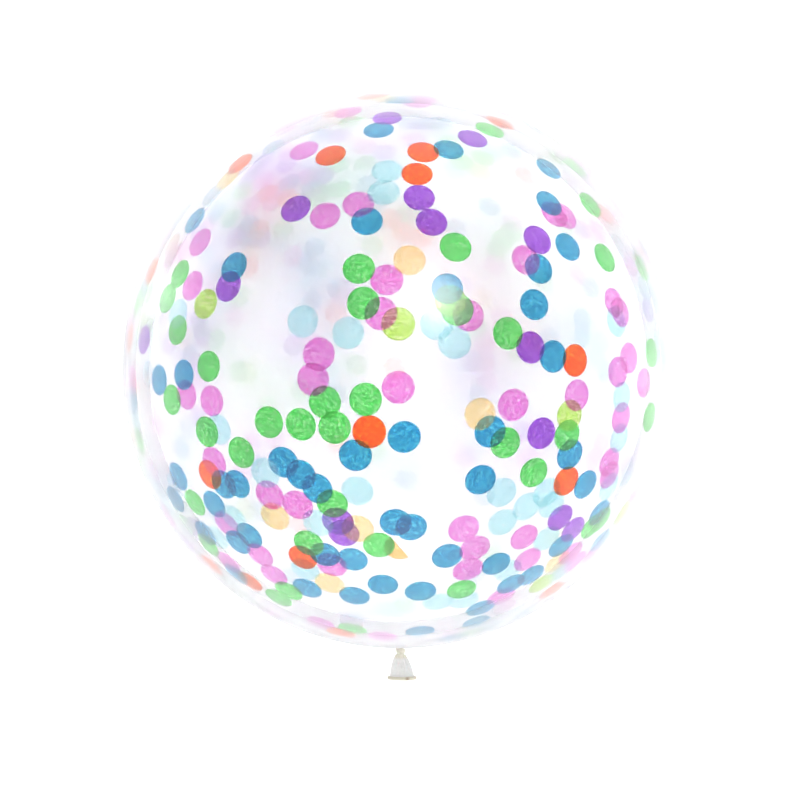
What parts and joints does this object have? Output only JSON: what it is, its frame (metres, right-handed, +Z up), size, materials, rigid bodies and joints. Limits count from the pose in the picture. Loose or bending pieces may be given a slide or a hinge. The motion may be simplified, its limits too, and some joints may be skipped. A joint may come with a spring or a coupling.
{
  "type": "clear confetti balloon",
  "caption": "Giant round clear latex balloon, blown up and knotted, with paper confetti circles on the inside of its skin, lying on its side on a small flat spot.",
  "frame": {"origin": "centre of the flat spot that the balloon lies on, straight below the middle of the round envelope", "axes": "+Z up from the floor; +Y along the balloon's own axis, from the knot and tail towards the crown; +X across it"},
  "size_m": [0.9996, 1.0836, 0.9955],
  "materials": {
    "clear_latex": "thin, clear, glossy blown-up latex with a faint milky haze; milky off-white where it is slack, at the knot, tail and lip",
    "blue_tissue": "thin see-through tissue paper, matt, mottled with fine fibres",
    "sky_tissue": "thin see-through tissue paper, matt, mottled with fine fibres",
    "pink_tissue": "thin see-through tissue paper, matt, mottled with fine fibres",
    "green_tissue": "thin see-through tissue paper, matt, mottled with fine fibres",
    "lime_tissue": "thin see-through tissue paper, matt, mottled with fine fibres",
    "violet_tissue": "thin see-through tissue paper, matt, mottled with fine fibres",
    "orange_tissue": "thin see-through tissue paper, matt, mottled with fine fibres",
    "cream_tissue": "thin see-through tissue paper, matt, mottled with fine fibres"
  },
  "bodies": {
    "root": {"balloon": "clear_latex"}
  },
  "joints": []
}
